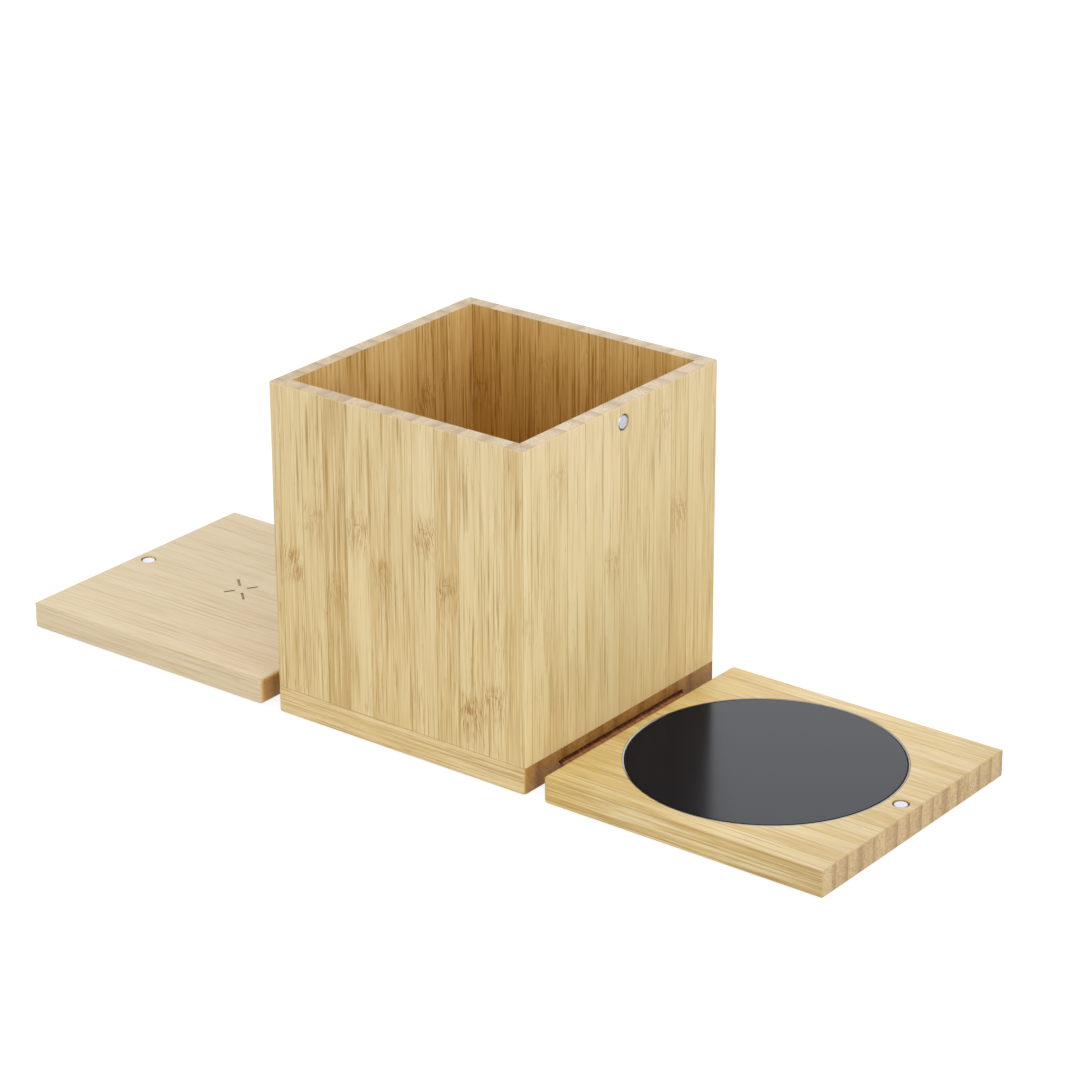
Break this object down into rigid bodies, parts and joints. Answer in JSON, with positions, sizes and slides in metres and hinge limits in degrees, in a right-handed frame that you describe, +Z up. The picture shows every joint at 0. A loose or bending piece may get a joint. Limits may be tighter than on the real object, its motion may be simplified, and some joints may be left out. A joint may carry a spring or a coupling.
{
  "type": "wireless charger pen holder",
  "caption": "Open-topped bamboo pen box with fold-up side panels held by magnets: a wireless phone charger and a mug warmer with a round black glass plate.",
  "frame": {"origin": "on the surface it stands on, under the middle of the pen box", "axes": "+X along the row towards the mug warming panel, +Y to the back, where the power socket is, +Z up"},
  "size_m": [0.2862, 0.09, 0.102],
  "materials": {
    "bamboo": "satin clear lacquer on laminated bamboo",
    "black_glass": "polished, printed black on its back",
    "seal_silicone": "matt",
    "magnet": "nickel plated",
    "screw_steel": "zinc plated",
    "socket_steel": "nickel plated, pressed",
    "socket_plastic": "moulded",
    "cover_plastic": "fine moulded texture",
    "foot_rubber": "matt",
    "strap_leather": "matt brown, grained",
    "lead_plastic": "matt",
    "circuit_laminate": "solder resist",
    "chip_plastic": "matt",
    "connector_plastic": "moulded",
    "coil_copper": "enamelled copper",
    "ferrite": "matt",
    "spreader_aluminium": "rolled",
    "heater_film": "polyimide",
    "insulation_felt": "pressed fibre"
  },
  "bodies": {
    "pen_box": {"base_board": "bamboo", "front_wall": "bamboo", "back_wall": "bamboo", "left_wall": "bamboo", "right_wall": "bamboo", "box_magnet_left": "magnet", "box_magnet_right": "magnet", "base_cover": "cover_plastic", "base_cover_screw_1": "screw_steel", "base_cover_screw_2": "screw_steel", "base_cover_screw_3": "screw_steel", "base_cover_screw_4": "screw_steel", "base_foot_1": "foot_rubber", "base_foot_2": "foot_rubber", "base_foot_3": "foot_rubber", "base_foot_4": "foot_rubber", "usb_c_socket": "socket_steel", "usb_c_insert": "socket_plastic", "control_board": "circuit_laminate", "control_chip": "chip_plastic", "control_connector_left": "connector_plastic", "control_connector_right": "connector_plastic", "hinge_strap_left": "strap_leather", "hinge_strap_right": "strap_leather", "power_lead_left": "lead_plastic", "power_lead_right": "lead_plastic"},
    "charging_panel": {"charging_board": "bamboo", "charging_coil": "coil_copper", "ferrite_sheet": "ferrite", "charger_circuit_board": "circuit_laminate", "charger_chip": "chip_plastic", "charger_connector": "connector_plastic", "charging_cover": "cover_plastic", "charging_cover_screw_1": "screw_steel", "charging_cover_screw_2": "screw_steel", "charging_cover_screw_3": "screw_steel", "charging_cover_screw_4": "screw_steel", "charging_magnet": "magnet", "charging_foot_1": "foot_rubber", "charging_foot_2": "foot_rubber", "charging_foot_3": "foot_rubber", "charging_foot_4": "foot_rubber"},
    "warming_panel": {"warming_board": "bamboo", "glass_plate": "black_glass", "glass_seal": "seal_silicone", "heat_spreader": "spreader_aluminium", "heater_film": "heater_film", "insulation_pad": "insulation_felt", "thermistor": "chip_plastic", "warming_magnet": "magnet", "warming_foot_1": "foot_rubber", "warming_foot_2": "foot_rubber", "warming_foot_3": "foot_rubber", "warming_foot_4": "foot_rubber"}
  },
  "joints": [
    {"name": "charging_panel_fold", "type": "hinge", "parent": "pen_box", "child": "charging_panel", "pos_m": [-0.04765, 0, 0.00615], "axis": [0, 1, 0], "range_deg": [0, 90], "deforming": ["hinge_strap_left", "power_lead_left"]},
    {"name": "warming_panel_fold", "type": "hinge", "parent": "pen_box", "child": "warming_panel", "pos_m": [0.04765, 0, 0.00615], "axis": [0, -1, 0], "range_deg": [0, 90], "deforming": ["hinge_strap_right", "power_lead_right"]}
  ]
}
